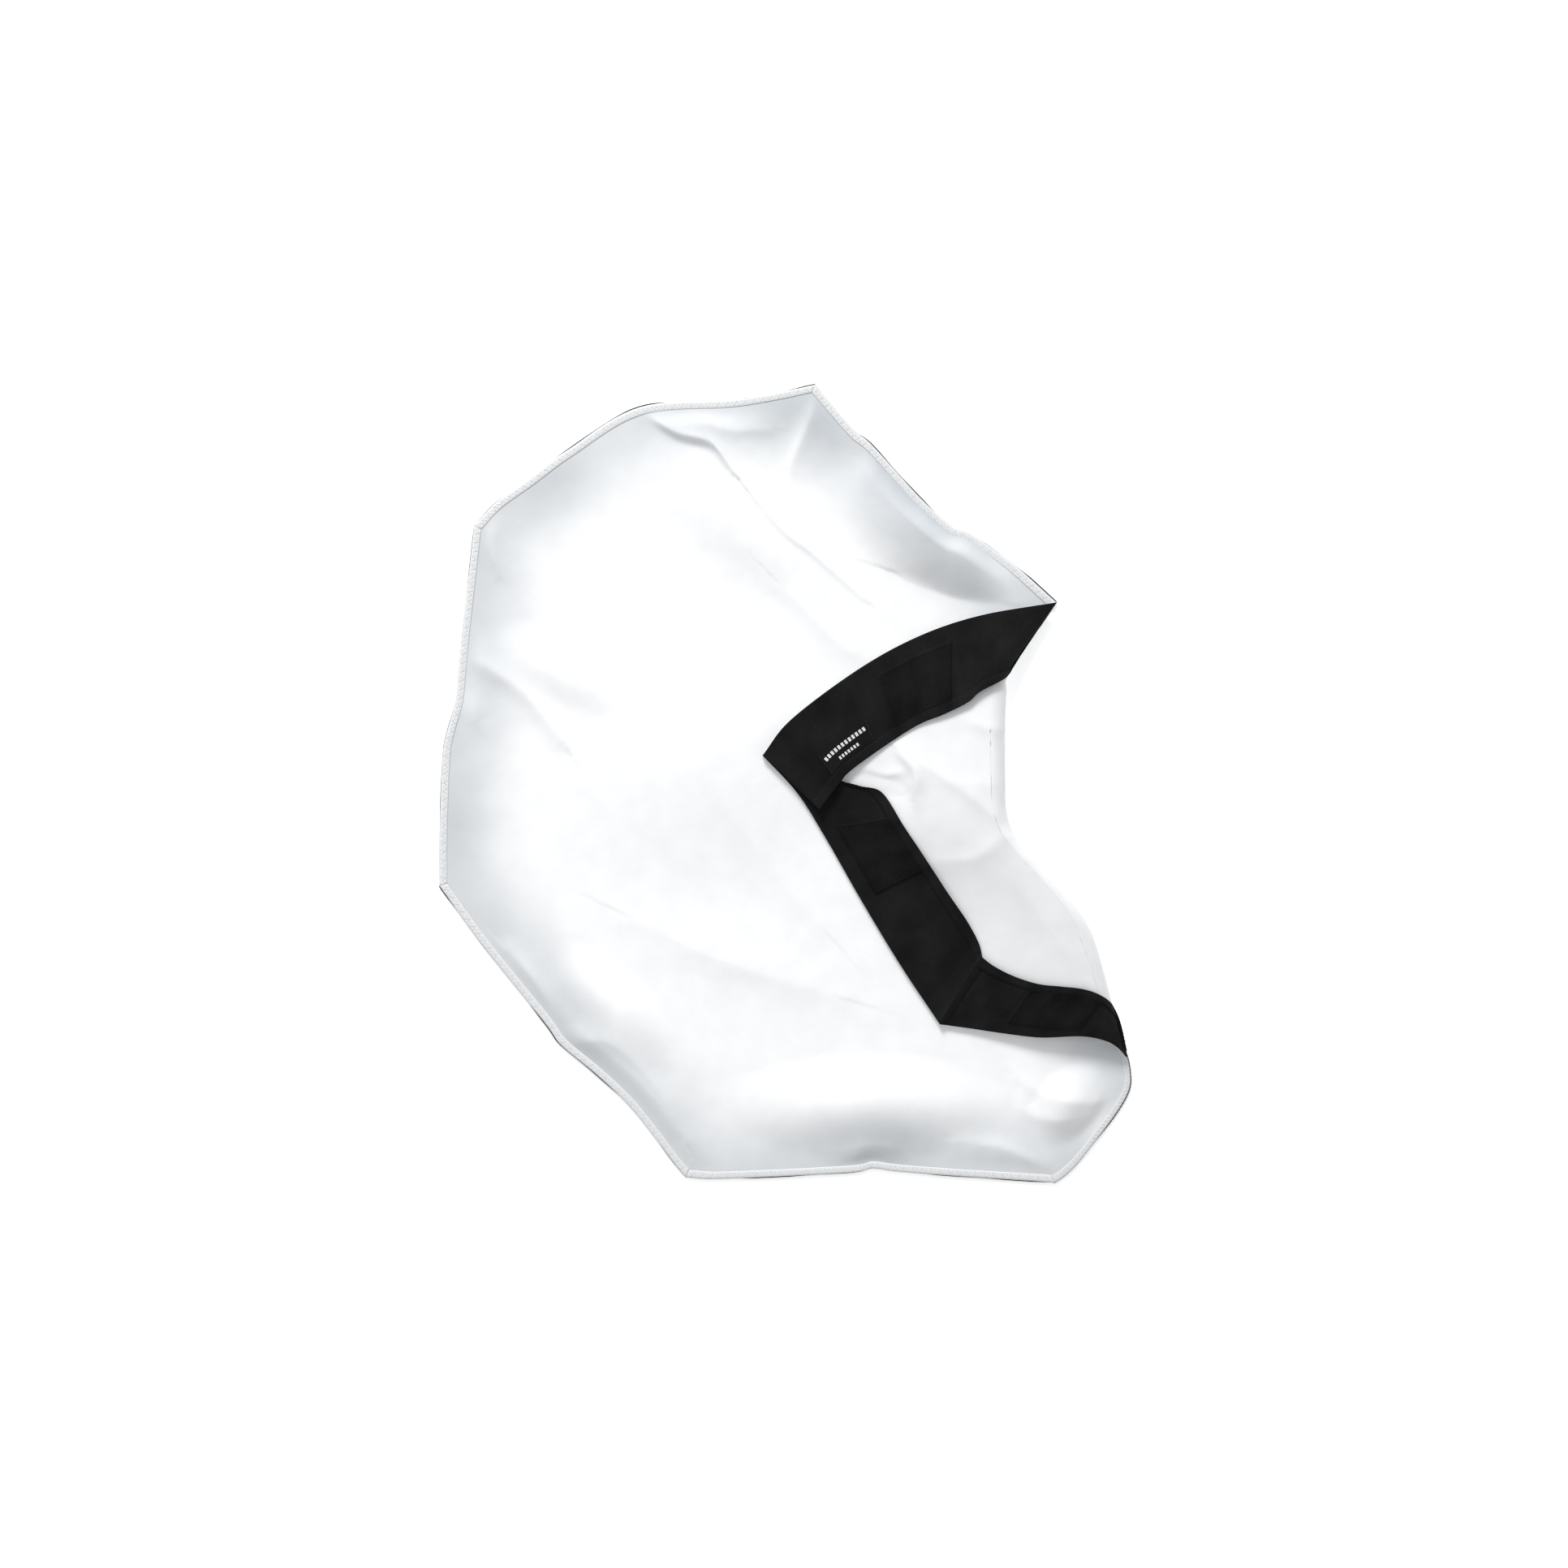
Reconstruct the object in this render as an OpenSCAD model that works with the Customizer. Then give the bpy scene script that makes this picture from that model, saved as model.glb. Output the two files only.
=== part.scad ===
/* [Cloth] */
// Distance between opposite sides of the octagon when it is spread flat
across_flats = 600; // [420:10:900]
// Thickness of the white diffusion cloth
cloth_t = 0.6; // [0.4:0.1:1.2]
// Width of the stitched hem round the edge
hem_w = 5; // [3:0.5:8]
// How far the hem stands proud of the cloth beside it
hem_rise = 0.5; // [0.2:0.1:1.5]

/* [Border] */
// Width of the dark border on the reverse, from the edge of the cloth
border_w = 48; // [34:1:56]
// Thickness of the border
border_t = 0.8; // [0.5:0.1:1.6]

/* [Hook patches] */
// Length of a hook patch along the side
patch_l = 48; // [30:1:70]
// Width of a hook patch across the border
patch_w = 34; // [15:1:36]
// Thickness of a hook patch
patch_t = 1; // [0.6:0.1:2]

/* [Label] */
// Length of the woven label
label_l = 39; // [20:1:60]
// Width of the woven label
label_w = 14; // [8:1:20]
// Thickness of the woven label
label_t = 0.5; // [0.3:0.1:1]

/* [Turned corner] */
// Height of the roll where the cloth turns over
roll_h = 22; // [10:1:36]
// Depth of the roll, seen from above
roll_depth = 10; // [5:1:16]
// How far from the roll the turned cloth comes down
settle_l = 110; // [60:5:160]
// Clearance between the turned cloth and the cloth under it
turn_gap = 1.5; // [0.6:0.1:4]
// Height of the highest soft hump in the cloth, as a share of the drawn one
hump_share = 1; // [0.5:0.05:1.5]

/* [Hidden] */

// The places below are drawn for a cloth 600 across flats with a border 48 wide
drawn_flats = 600;
drawn_border = 48;
lay = across_flats / drawn_flats;
border_share = border_w / drawn_border;

// Levels of the layers that lie flat, from the surface up
border_z = patch_t;
cloth_z = border_z + border_t;
cloth_top = cloth_z + cloth_t;
hem_top = cloth_top + hem_rise;
// Space between the roll's foot and the cloth that lies flat
seam_gap = 0.5;
// Space between one turned layer and the next, and between the cloth and its hem
sewn_gap = 0.5;
// Levels of the turned layers, over the underside of the turned cloth
turned_border_z = cloth_t + sewn_gap;
turned_patch_z = turned_border_z + border_t + sewn_gap;
// Steps along a side
side_steps = 24;
// Middle of the label as a share of its side, and its distance from the border's inner edge
label_place = 0.78;
label_inset = 6;
// Dark and white cloth
dark = [0.05, 0.05, 0.055];
darker = [0.03, 0.03, 0.03];
white = [0.94, 0.95, 0.96];

// Places in the plan of the laid cloth, in millimetres, as it lies with its corner turned over
corner_a = [20, 266];
corner_b = [181, 121];
corner_c = [230, -192];
corner_d = [180, -266];
corner_e = [-66, -262];
corner_f = [-230, -68];
corner_g = [-207, 172];
tip_top = [-15, 19];
tip_low = [103, -160];

// Outer edges of the sides that lie flat, each from corner to corner
edge_bottom = [corner_d, [111, -261], [58, -258], [40, -260], [-41, -263], corner_e];
edge_lower_left = [corner_e, [-87, -235], [-104, -214], [-149, -174], [-160, -159],
    [-201, -108], corner_f];
edge_left = [corner_f, [-228, 18], [-219, 57], [-216, 90], corner_g];
edge_upper_left = [corner_g, [-193, 187], [-144, 223], [-97, 251], [-36, 256], corner_a];
edge_upper_right = [corner_a, [45, 237], [90, 191], [111, 172], [153, 146], corner_b];
edge_lower_right = [corner_c, [229, -203], [223, -216], [210, -234], [196, -252], corner_d];
// Outer edges of the turned sides
edge_turned_top = [corner_b, [129, 112], [88, 98], [48, 76], [4, 43], tip_top];
edge_turned_side = [tip_top, [8, -6], [51, -78], [77, -121], tip_low];
edge_turned_tail = [tip_low, [125, -163], [170, -169], [197, -167], [213, -170], [222, -176]];
// Inner edges of the turned border, which is ruffled and so is drawn
inner_turned_top = [[150, 77], [129, 62], [100, 41], [56, 13], [42, 3]];
inner_turned_side = [[42, 3], [66, -6], [91, -46], [121, -91], [131, -115]];
inner_turned_tail = [[131, -115], [152, -127], [182, -134], [207, -139], [217, -146],
    [222, -160]];
// The line along which the cloth turns over
fold = [corner_b, [150, 77], [146, 49], [146, 6], [148, -19], [154, -36], [188, -74],
    [207, -108], [218, -137], [226, -172], corner_c];
// Height of the roll along the fold, as a share of roll_h, by place along Y
roll_share = [[-192, 0.15], [-160, 0.55], [-90, 0.85], [0, 1], [60, 0.8], [121, 0.15]];
// Soft humps: place, half length, half width, direction and height
humps = [[[95, 165], 85, 42, -40, 14], [[-30, 175], 95, 30, -42, 8],
    [[-60, 20], 130, 110, 20, 7], [[-150, 75], 60, 24, -30, 5],
    [[-112, -150], 60, 26, -48, 8], [[55, -215], 100, 38, 0, 10],
    [[190, -212], 34, 24, 50, 8]];

// Mixes two places or numbers
function mix(a, b, t) = a + (b - a) * t;
// Length run along a line up to each of its points
function run(p) = [for (i = 0, s = 0; i < len(p);
    s = s + norm(p[min(i + 1, len(p) - 1)] - p[i]), i = i + 1) s];
// The place at a share t of a line's length
function along(p, t) =
    let (d = run(p), s = t * d[len(p) - 1])
    [lookup(s, [for (i = [0:len(p) - 1]) [d[i], p[i].x]]),
     lookup(s, [for (i = [0:len(p) - 1]) [d[i], p[i].y]])];
// The place inside a corner at a distance w from both of its sides
function mitre(before, p, after, w) =
    let (a = (before - p) / norm(before - p), b = (after - p) / norm(after - p),
         h = (a + b) / norm(a + b))
    p + h * w / abs(cross(a, h));
// The inner edge of a side from its two inner corners, following its bends
function inner_edge(edge, first, last) =
    [for (i = [0:8]) mix(first, last, i / 8)
        + 0.6 * (along(edge, i / 8) - mix(edge[0], edge[len(edge) - 1], i / 8))];
// A side holds its outer edge and its inner edge at the drawn border width
function side(edge, inner) = [edge * lay, inner * lay];
// The place at a share t along a side and a distance w in from its edge
function place(s, t, w) = mix(along(s[0], t), along(s[1], t), w / drawn_border / lay);

in_a = mitre(edge_upper_left[4], corner_a, edge_upper_right[1], drawn_border);
in_b = inner_turned_top[0] + [-3, 2];
in_c = corner_c + [-44, 8];
in_d = mitre(edge_lower_right[4], corner_d, edge_bottom[1], drawn_border);
in_e = mitre(edge_bottom[4], corner_e, edge_lower_left[2], drawn_border);
in_f = mitre(edge_lower_left[5], corner_f, edge_left[1], drawn_border);
in_g = mitre(edge_left[3], corner_g, edge_upper_left[2], drawn_border);

side_bottom = side(edge_bottom, inner_edge(edge_bottom, in_d, in_e));
side_lower_left = side(edge_lower_left, inner_edge(edge_lower_left, in_e, in_f));
side_left = side(edge_left, inner_edge(edge_left, in_f, in_g));
side_upper_left = side(edge_upper_left, inner_edge(edge_upper_left, in_g, in_a));
side_upper_right = side(edge_upper_right, inner_edge(edge_upper_right, in_a, in_b));
side_lower_right = side(edge_lower_right, inner_edge(edge_lower_right, in_c, in_d));
side_turned_top = side(edge_turned_top, inner_turned_top);
side_turned_side = side(edge_turned_side, inner_turned_side);
side_turned_tail = side(edge_turned_tail, inner_turned_tail);

// Height of one hump at a place, none beyond its reach
function hump(p, h) =
    let (d = p / lay - h[0], u = (d.x * cos(h[3]) + d.y * sin(h[3])) / h[1],
         v = (d.y * cos(h[3]) - d.x * sin(h[3])) / h[2], r = min(1, norm([u, v])))
    h[4] * (1 + cos(180 * r)) / 2;
function sum(v, i = 0) = i < len(v) ? v[i] + sum(v, i + 1) : 0;
// Height of the humps at a place
function rise(p) = hump_share * sum([for (h = humps) hump(p, h)]);
function smooth(t) = let (c = max(0, min(1, t))) c * c * (3 - 2 * c);
fold_by_y = [for (i = [len(fold) - 1:-1:0]) [fold[i].y * lay, fold[i].x * lay]];
// Height of the roll at a place along Y
function roll_at(y) = roll_h * lookup(y / lay, roll_share);
// Underside of the turned cloth
function turned_z(p) =
    hem_top + turn_gap + rise(p)
        + roll_at(p.y) * (1 - smooth((lookup(p.y, fold_by_y) - p.x) / settle_l));

// A patch of surface between four lines, with s across and t along
function patch(low, high, left, right, s, t) =
    let (a = along(low, s), b = along(high, s), c = along(left, t), d = along(right, t))
    mix(a, b, t) + mix(c, d, s)
        - mix(mix(low[0], low[len(low) - 1], s), mix(high[0], high[len(high) - 1], s), t);

// A closed sheet between two grids of places
module sheet(top, under) {
    n = len(top);
    m = len(top[0]);
    count = n * m;
    points = concat([for (row = top) each row], [for (row = under) each row]);
    upper = [for (i = [0:n - 2], j = [0:m - 2]) let (a = i * m + j)
        each [[a, a + m, a + m + 1], [a, a + m + 1, a + 1]]];
    lower = [for (f = upper) [f[2] + count, f[1] + count, f[0] + count]];
    rim = concat([for (j = [0:m - 2]) [j, j + 1]],
        [for (i = [0:n - 2]) [i * m + m - 1, (i + 1) * m + m - 1]],
        [for (j = [m - 1:-1:1]) [(n - 1) * m + j, (n - 1) * m + j - 1]],
        [for (i = [n - 1:-1:1]) [i * m, (i - 1) * m]]);
    walls = [for (e = rim)
        each [[e[0], e[1], e[1] + count], [e[0], e[1] + count, e[0] + count]]];
    polyhedron(points = points, faces = concat(upper, lower, walls), convexity = 8);
}

// A flat piece on a side between two shares of its length and two distances in
module flat_piece(s, t0, t1, w0, w1, z, t, steps = side_steps) {
    outer = [for (i = [0:steps]) place(s, mix(t0, t1, i / steps), w0)];
    inner = [for (i = [steps:-1:0]) place(s, mix(t0, t1, i / steps), w1)];
    translate([0, 0, z])
        linear_extrude(t)
            polygon(concat(outer, inner));
}

// A piece on a turned side that follows the turned cloth, from a height over its underside
module turned_piece(s, t0, t1, w0, w1, over, t, long = side_steps, wide = 6) {
    grid = [for (i = [0:long]) [for (j = [0:wide])
        place(s, mix(t0, t1, i / long), mix(w0, w1, j / wide))]];
    top = [for (row = grid) [for (p = row) [p.x, p.y, turned_z(p) + over + t]]];
    under = [for (row = grid) [for (p = row) [p.x, p.y, turned_z(p) + over]]];
    sheet(top, under);
}

// Half the share of a side that a length takes, a distance w in from its edge
function half_share(s, l, w) =
    let (d = run([for (i = [0:side_steps]) place(s, i / side_steps, w)]))
    l / 2 / d[side_steps];
patch_middle = (hem_w + border_w) / 2;

module border(s) {
    color(dark) flat_piece(s, 0, 1, hem_w, border_w, border_z, border_t);
}
module hem(s) {
    color(white) flat_piece(s, 0, 1, 0, hem_w, border_z, hem_top - border_z);
}
module hook_patch(s) {
    h = half_share(s, patch_l, patch_middle);
    w = patch_middle - patch_w / 2;
    color(darker) flat_piece(s, 0.5 - h, 0.5 + h, w, w + patch_w, 0, patch_t);
}
module turned_border(s) {
    color(dark) turned_piece(s, 0, 1, hem_w, border_w, turned_border_z, border_t);
}
module turned_hem(s) {
    color(white)
        turned_piece(s, 0, 1, 0, hem_w, -hem_rise, turned_border_z + border_t + hem_rise,
            wide = 1);
}
// The turned sides are drawn together in places, so a patch has its own middle there
module turned_hook_patch(s, middle) {
    h = half_share(s, patch_l, patch_middle);
    w = patch_middle - patch_w / 2;
    color(darker)
        turned_piece(s, middle - h, middle + h, w, w + patch_w, turned_patch_z, patch_t, 8, 6);
}

// The lines that bound the white cloth, just inside the hem
function hem_line(s) =
    [for (i = [0:side_steps]) place(s, i / side_steps, hem_w + sewn_gap)];
function reversed(p) = [for (i = [len(p) - 1:-1:0]) p[i]];
fold_foot = [for (i = [0:20]) along(fold, i / 20) * lay - [roll_depth + seam_gap, 0]];

module diffusion_panel() {
    low = reversed(hem_line(side_bottom));
    left = concat(hem_line(side_lower_left), hem_line(side_left));
    high = hem_line(side_upper_left);
    right_up = reversed(hem_line(side_upper_right));
    right_low = reversed(hem_line(side_lower_right));
    foot = reversed(fold_foot);
    right = concat(right_low, [for (i = [1:19]) foot[i]], right_up);
    rows = 44;
    columns = 36;
    grid = [for (i = [0:rows]) [for (j = [0:columns])
        patch(low, high, left, right, j / columns, i / rows)]];
    top = [for (row = grid) [for (p = row) [p.x, p.y, cloth_top + rise(p)]]];
    under = [for (row = top) [for (p = row) p - [0, 0, cloth_t]]];
    color(white) sheet(top, under);
}

// The turned cloth and the half roll at its fold, down to the cloth that lies flat
module turned_panel() {
    top_line = hem_line(side_turned_top);
    tail_line = reversed(hem_line(side_turned_tail));
    outer_line = hem_line(side_turned_side);
    rows = 40;
    columns = 20;
    turns = 8;
    line = [for (i = [0:20]) along(fold, mix(0.03, 0.92, i / 20)) * lay - [roll_depth, 0]];
    low = concat([line[0]], [for (i = [1:side_steps]) top_line[i]]);
    high = concat([line[20]], [for (i = [1:side_steps]) tail_line[i]]);
    grid = [for (i = [0:rows]) [for (j = [0:columns])
        patch(low, high, line, outer_line, j / columns, i / rows)]];
    lying = [for (row = grid) [for (j = [columns:-1:0])
        let (p = row[j]) [p.x, p.y, turned_z(p)]]];
    full = [for (row = lying) let (p = row[columns],
        foot = hem_top + seam_gap + cloth_t + rise(p), half = (p.z - foot) / 2)
        concat(row, [for (k = [1:turns]) let (a = 180 * k / turns)
            [p.x + roll_depth * sin(a), p.y, foot + half + half * cos(a)]])];
    inner = full;
    outer = [for (row = full) [for (j = [0:columns + turns])
        let (a = 180 * max(0, j - columns) / turns) row[j] + cloth_t * [sin(a), 0, cos(a)]]];
    color(white) sheet(outer, inner);
}

module woven_label() {
    s = side_turned_top;
    low = border_w - label_inset;
    h = half_share(s, label_l, low - label_w / 2);
    color(darker)
        turned_piece(s, label_place - h, label_place + h, low - label_w, low, turned_patch_z,
            label_t, 6, 3);
}

diffusion_panel();
border(side_bottom);  // border_bottom
border(side_lower_left);  // border_lower_left
border(side_left);  // border_left
border(side_upper_left);  // border_upper_left
border(side_upper_right);  // border_upper_right
border(side_lower_right);  // border_lower_right
hem(side_bottom);  // hem_bottom
hem(side_lower_left);  // hem_lower_left
hem(side_left);  // hem_left
hem(side_upper_left);  // hem_upper_left
hem(side_upper_right);  // hem_upper_right
hem(side_lower_right);  // hem_lower_right
hook_patch(side_bottom);  // hook_patch_bottom
hook_patch(side_lower_left);  // hook_patch_lower_left
hook_patch(side_left);  // hook_patch_left
hook_patch(side_upper_left);  // hook_patch_upper_left
hook_patch(side_upper_right);  // hook_patch_upper_right
turned_panel();
turned_border(side_turned_top);  // turned_border_top
turned_border(side_turned_side);  // turned_border_side
turned_border(side_turned_tail);  // turned_border_tail
turned_hem(side_turned_top);  // turned_hem_top
turned_hem(side_turned_side);  // turned_hem_side
turned_hem(side_turned_tail);  // turned_hem_tail
turned_hook_patch(side_turned_top, 0.44);  // turned_hook_patch_top
turned_hook_patch(side_turned_side, 0.42);  // turned_hook_patch_side
turned_hook_patch(side_turned_tail, 0.5);  // turned_hook_patch_tail
woven_label();
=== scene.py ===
import math

import bmesh
import bpy
import numpy as np
from mathutils import Matrix, Vector


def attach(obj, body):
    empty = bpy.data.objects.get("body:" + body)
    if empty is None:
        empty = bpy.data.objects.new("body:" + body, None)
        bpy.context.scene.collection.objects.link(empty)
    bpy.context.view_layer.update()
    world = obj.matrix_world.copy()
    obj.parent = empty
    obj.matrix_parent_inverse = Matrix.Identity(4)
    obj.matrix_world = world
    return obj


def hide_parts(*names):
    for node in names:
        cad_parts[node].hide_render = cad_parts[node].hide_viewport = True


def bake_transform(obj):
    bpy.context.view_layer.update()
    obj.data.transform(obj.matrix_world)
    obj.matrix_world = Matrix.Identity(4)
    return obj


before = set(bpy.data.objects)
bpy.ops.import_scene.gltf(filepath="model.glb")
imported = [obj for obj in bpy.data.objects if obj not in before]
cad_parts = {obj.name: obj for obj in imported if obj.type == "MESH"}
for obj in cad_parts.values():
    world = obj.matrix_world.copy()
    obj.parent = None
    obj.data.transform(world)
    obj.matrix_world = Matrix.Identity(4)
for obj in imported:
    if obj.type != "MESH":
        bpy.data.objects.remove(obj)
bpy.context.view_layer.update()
print("frame loaded")

mm = 0.001  # places are worked out in millimetres, and meshes are in metres
farAway = 1e9
spread, turned = "spread_cloth", "turned_corner"

# the outline of the laid cloth in plan, side by side from corner to corner
corner = {
    "a": (20, 266), "b": (181, 121), "c": (230, -192), "d": (180, -266),
    "e": (-66, -262), "f": (-230, -68), "g": (-207, 172),
    "tipTop": (-15, 19), "tipLow": (103, -160),
}
edges = {
    "bottom": ["d", (172, -265), (111, -261), (74, -258), (58, -256), (42, -259), (-41, -263), "e"],
    "lowerLeft": ["e", (-75, -251), (-87, -235), (-104, -214), (-125, -194), (-149, -174),
                  (-160, -159), (-201, -108), "f"],
    "left": ["f", (-230, -33), (-228, 18), (-225, 35), (-219, 57), (-216, 90), "g"],
    "upperLeft": ["g", (-193, 187), (-171, 203), (-144, 223), (-97, 251), (-36, 256),
                  (-4, 261), "a"],
    "upperRight": ["a", (45, 237), (58, 226), (90, 191), (111, 172), (125, 166),
                   (153, 146), "b"],
    "lowerRight": [(223, -172), (227.5, -180), "c", (229.5, -203), (223, -216), (210, -234),
                   (196, -252), (187, -261), "d"],
    "turnedTop": ["b", (129, 112), (88, 98), (48, 76), (4, 43), "tipTop"],
    "turnedSide": ["tipTop", (8, -6), (27, -36), (51, -78), (77, -121), "tipLow"],
    "turnedTail": ["tipLow", (125, -163), (146, -166), (170, -168.5), (197, -167.5),
                   (213, -170.5), (222, -176), (227.5, -182)],
}
# the inner edge of the turned border
innerEdges = {
    "turnedTop": [(151, 77), (146, 70), (129, 61), (121, 54), (105, 46), (88, 39), (66, 25),
                  (44, 9), (36, 0), (23, -17)],
    "turnedSide": [(40, 1), (52, -2), (65, -6), (79, -28), (91, -46), (108, -72), (121, -91),
                   (129, -106), (131, -115)],
    "turnedTail": [(131, -115), (139, -121), (152, -127.5), (168, -132.5), (182, -134),
                   (196, -135.5), (207.5, -139), (216.5, -145.5), (222.5, -157), (227, -176)],
}
foldLine = ["b", (150, 77), (147, 60), (146, 40), (146, 6), (147, -19), (154, -36), (169, -53),
            (188, -74), (200, -91), (207, -108), (215, -137), (224, -172), "c"]
flatSides = ["bottom", "lowerLeft", "left", "upperLeft", "upperRight", "lowerRight"]
turnedSides = ["turnedTop", "turnedSide", "turnedTail"]

layers = {  # heights of the layers, and the widths of the border and the hem
    "patch": 1.0, "cloth": 2.4, "foot": 3.05, "turnedLowest": 4.6,
    "borderWide": 48.0, "hemWide": 5.0,
}
roll = {  # how the cloth rolls over at the fold; share gives how high it is along the fold
    "high": 20.0, "deep": 10.0, "settle": 110.0, "clear": 0.5, "blendIn": 0.1,
    "share": [(-192, 0.15), (-160, 0.55), (-90, 0.85), (0, 1), (60, 0.8), (121, 0.15)],
}


def points(names):
    return np.array([corner[n] if isinstance(n, str) else n for n in names], float)


def smoothLine(names, steps=10):  # a curve through its points, with the length run at each
    p = points(names)
    q = np.vstack([2 * p[0] - p[1], p, 2 * p[-1] - p[-2]])
    out = []
    for i in range(1, len(q) - 2):
        for k in range(steps):
            t = k / steps
            a = 0.5 * (q[i + 1] - q[i - 1])
            b = 0.5 * (q[i + 2] - q[i])
            t2, t3 = t * t, t * t * t
            out.append((2 * t3 - 3 * t2 + 1) * q[i] + (t3 - 2 * t2 + t) * a
                       + (3 * t2 - 2 * t3) * q[i + 1] + (t3 - t2) * b)
    out.append(q[-2])
    out = np.array(out)
    step = np.linalg.norm(np.diff(out, axis=0), axis=1)
    return {"at": out, "run": np.concatenate([[0], np.cumsum(step)])}


def along(line, t):  # the places at shares t of a line's length
    s = np.asarray(t, float) * line["run"][-1]
    return np.stack([np.interp(s, line["run"], line["at"][:, k]) for k in (0, 1)], axis=-1)


def mitre(before, at, after, wide):  # the place inside a corner, as far from both its sides
    a = (before - at) / np.linalg.norm(before - at)
    b = (after - at) / np.linalg.norm(after - at)
    h = (a + b) / np.linalg.norm(a + b)
    return at + h * wide / abs(a[0] * h[1] - a[1] * h[0])


def innerPlace(before, name, after):  # where the border's inner edges meet at a corner
    return mitre(points([before])[0], points([name])[0], points([after])[0],
                 layers["borderWide"])


innerCorner = {
    "a": innerPlace(edges["upperLeft"][4], "a", edges["upperRight"][1]),
    "b": np.array([147.0, 79.0]),
    "c": np.array([186.0, -184.0]),
    "d": innerPlace((201, -244), "d", (111, -261)),
    "e": innerPlace(edges["bottom"][6], "e", edges["lowerLeft"][3]),
    "f": innerPlace(edges["lowerLeft"][7], "f", edges["left"][2]),
    "g": innerPlace(edges["left"][5], "g", edges["upperLeft"][3]),
}
innerLine = {"steps": 41, "bow": 0.6}  # bow: how far the inner edge copies the outer one's curve
sideLines = {}
for name in flatSides:
    edge = smoothLine(edges[name])
    starts = "c" if name == "lowerRight" else edges[name][0]
    first, last = innerCorner[starts], innerCorner[edges[name][-1]]
    t = np.linspace(0, 1, innerLine["steps"])[:, None]
    chord = edge["at"][0] + (edge["at"][-1] - edge["at"][0]) * t
    bow = along(edge, t[:, 0]) - chord
    inner = first + (last - first) * t + innerLine["bow"] * bow
    run = np.concatenate([[0], np.cumsum(np.linalg.norm(np.diff(inner, axis=0), axis=1))])
    sideLines[name] = (edge, {"at": inner, "run": run})
for name in turnedSides:
    sideLines[name] = (smoothLine(edges[name]), smoothLine(innerEdges[name]))
fold = smoothLine(foldLine)


def placeOn(side, t, w):  # plan places at shares t of a side, w millimetres in from its edge
    edge, inner = sideLines[side]
    t, w = np.broadcast_arrays(np.asarray(t, float), np.asarray(w, float))
    a, b = along(edge, t), along(inner, t)
    return a + (b - a) * (w / layers["borderWide"])[..., None]


def smooth(t):  # 0 to 1 with soft ends
    c = np.clip(t, 0, 1)
    return c * c * (3 - 2 * c)


# soft humps: place, half length, half width, direction and height
humps = [
    ((95, 165), 85, 42, -40, 14), ((-30, 175), 95, 38, -42, 6), ((-60, 20), 130, 110, 20, 7),
    ((-150, 75), 60, 24, -30, 5), ((-112, -150), 60, 26, -48, 8), ((55, -215), 100, 38, 0, 10),
    ((190, -212), 34, 24, 50, 8),
]
# creases of the cloth that lies flat: points, height, and how wide its two slopes are
creases = [
    ([(-95, 249), (-73, 234), (-49, 227), (-34, 208)], 4.5, 20, 2.6),
    ([(-42, 218), (-3, 171), (18, 154), (52, 124)], 1.8, 14, 2.6),
    ([(22, 258), (14, 236), (4, 212)], 2.4, 8, 4),
    ([(89, 190), (97, 172), (112, 164)], 3, 8, 5),
    ([(80, 139), (94, 134), (110, 125), (141, 121)], -3.5, 9, 22),
    ([(-195, 180), (-197, 160), (-190, 140)], 2.2, 7, 4),
    ([(-213, 86), (-192, 74), (-170, 57), (-150, 30)], 4, 14, 7),
    ([(-216, 60), (-205, 40)], 2, 10, 6),
    ([(-184, -112), (-168, -130), (-154, -154)], 4.5, 6, 14),
    ([(-146, -176), (-125, -171), (-108, -178), (-84, -204), (-68, -236)], 6, 12, 20),
    ([(36, -252), (56, -246), (74, -252)], 3.5, 10, 7),
    ([(-70, 60), (-40, -10), (-6, -60), (20, -90)], 2, 30, 14),
    ([(-100, -90), (-40, -118), (30, -140)], 2.5, 24, 12),
    ([(156, -196), (176, -208), (206, -212), (222, -206)], 2, 9, 6),
    ([(158, -208), (160, -218), (180, -224), (204, -220)], 1.5, 8, 5),
    ([(176, -258), (150, -244), (118, -238)], 2.4, 9, 6),
    ([(-60, 246), (-40, 236), (-10, 236)], 1.8, 8, 5),
    ([(0, 130), (34, 96), (52, 84)], 2.5, 18, 9),
]
# how a crease dies out at its ends and across, and how the relief starts inside the edge
creaseShape = {"endShare": 0.12, "endPower": 0.7, "acrossPower": 1.5, "steps": 4,
               "edgeFlat": 3, "edgeSoft": 14, "edgeSkip": 3, "turnedDeep": -1}
# creases of the turned cloth
turnedCreases = [
    ([(76, 21), (86, 8), (86, -8)], 3.5, 7, 3),
    ([(86, 17), (120, -6), (150, -32)], 1.5, 9, 5),
    ([(100, -51), (126, -49), (140, -38), (150, -24)], 1.3, 6, 9),
    ([(120, 42), (142, 34)], 1.2, 8, 5),
    ([(44, 2), (60, 3), (80, -6)], -2.5, 7, 7),
    ([(54, 10), (66, 6), (78, 8)], 1.5, 4, 4),
    ([(150, -60), (172, -90), (196, -128)], 1.2, 14, 8),
]


def humpHeight(p, h):
    at, long, across, turn, high = h
    c, s = math.cos(math.radians(turn)), math.sin(math.radians(turn))
    d = p - np.array(at, float)
    u = (d[..., 0] * c + d[..., 1] * s) / long
    v = (d[..., 1] * c - d[..., 0] * s) / across
    return high * (1 + np.cos(math.pi * np.minimum(1, np.hypot(u, v)))) / 2


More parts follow.
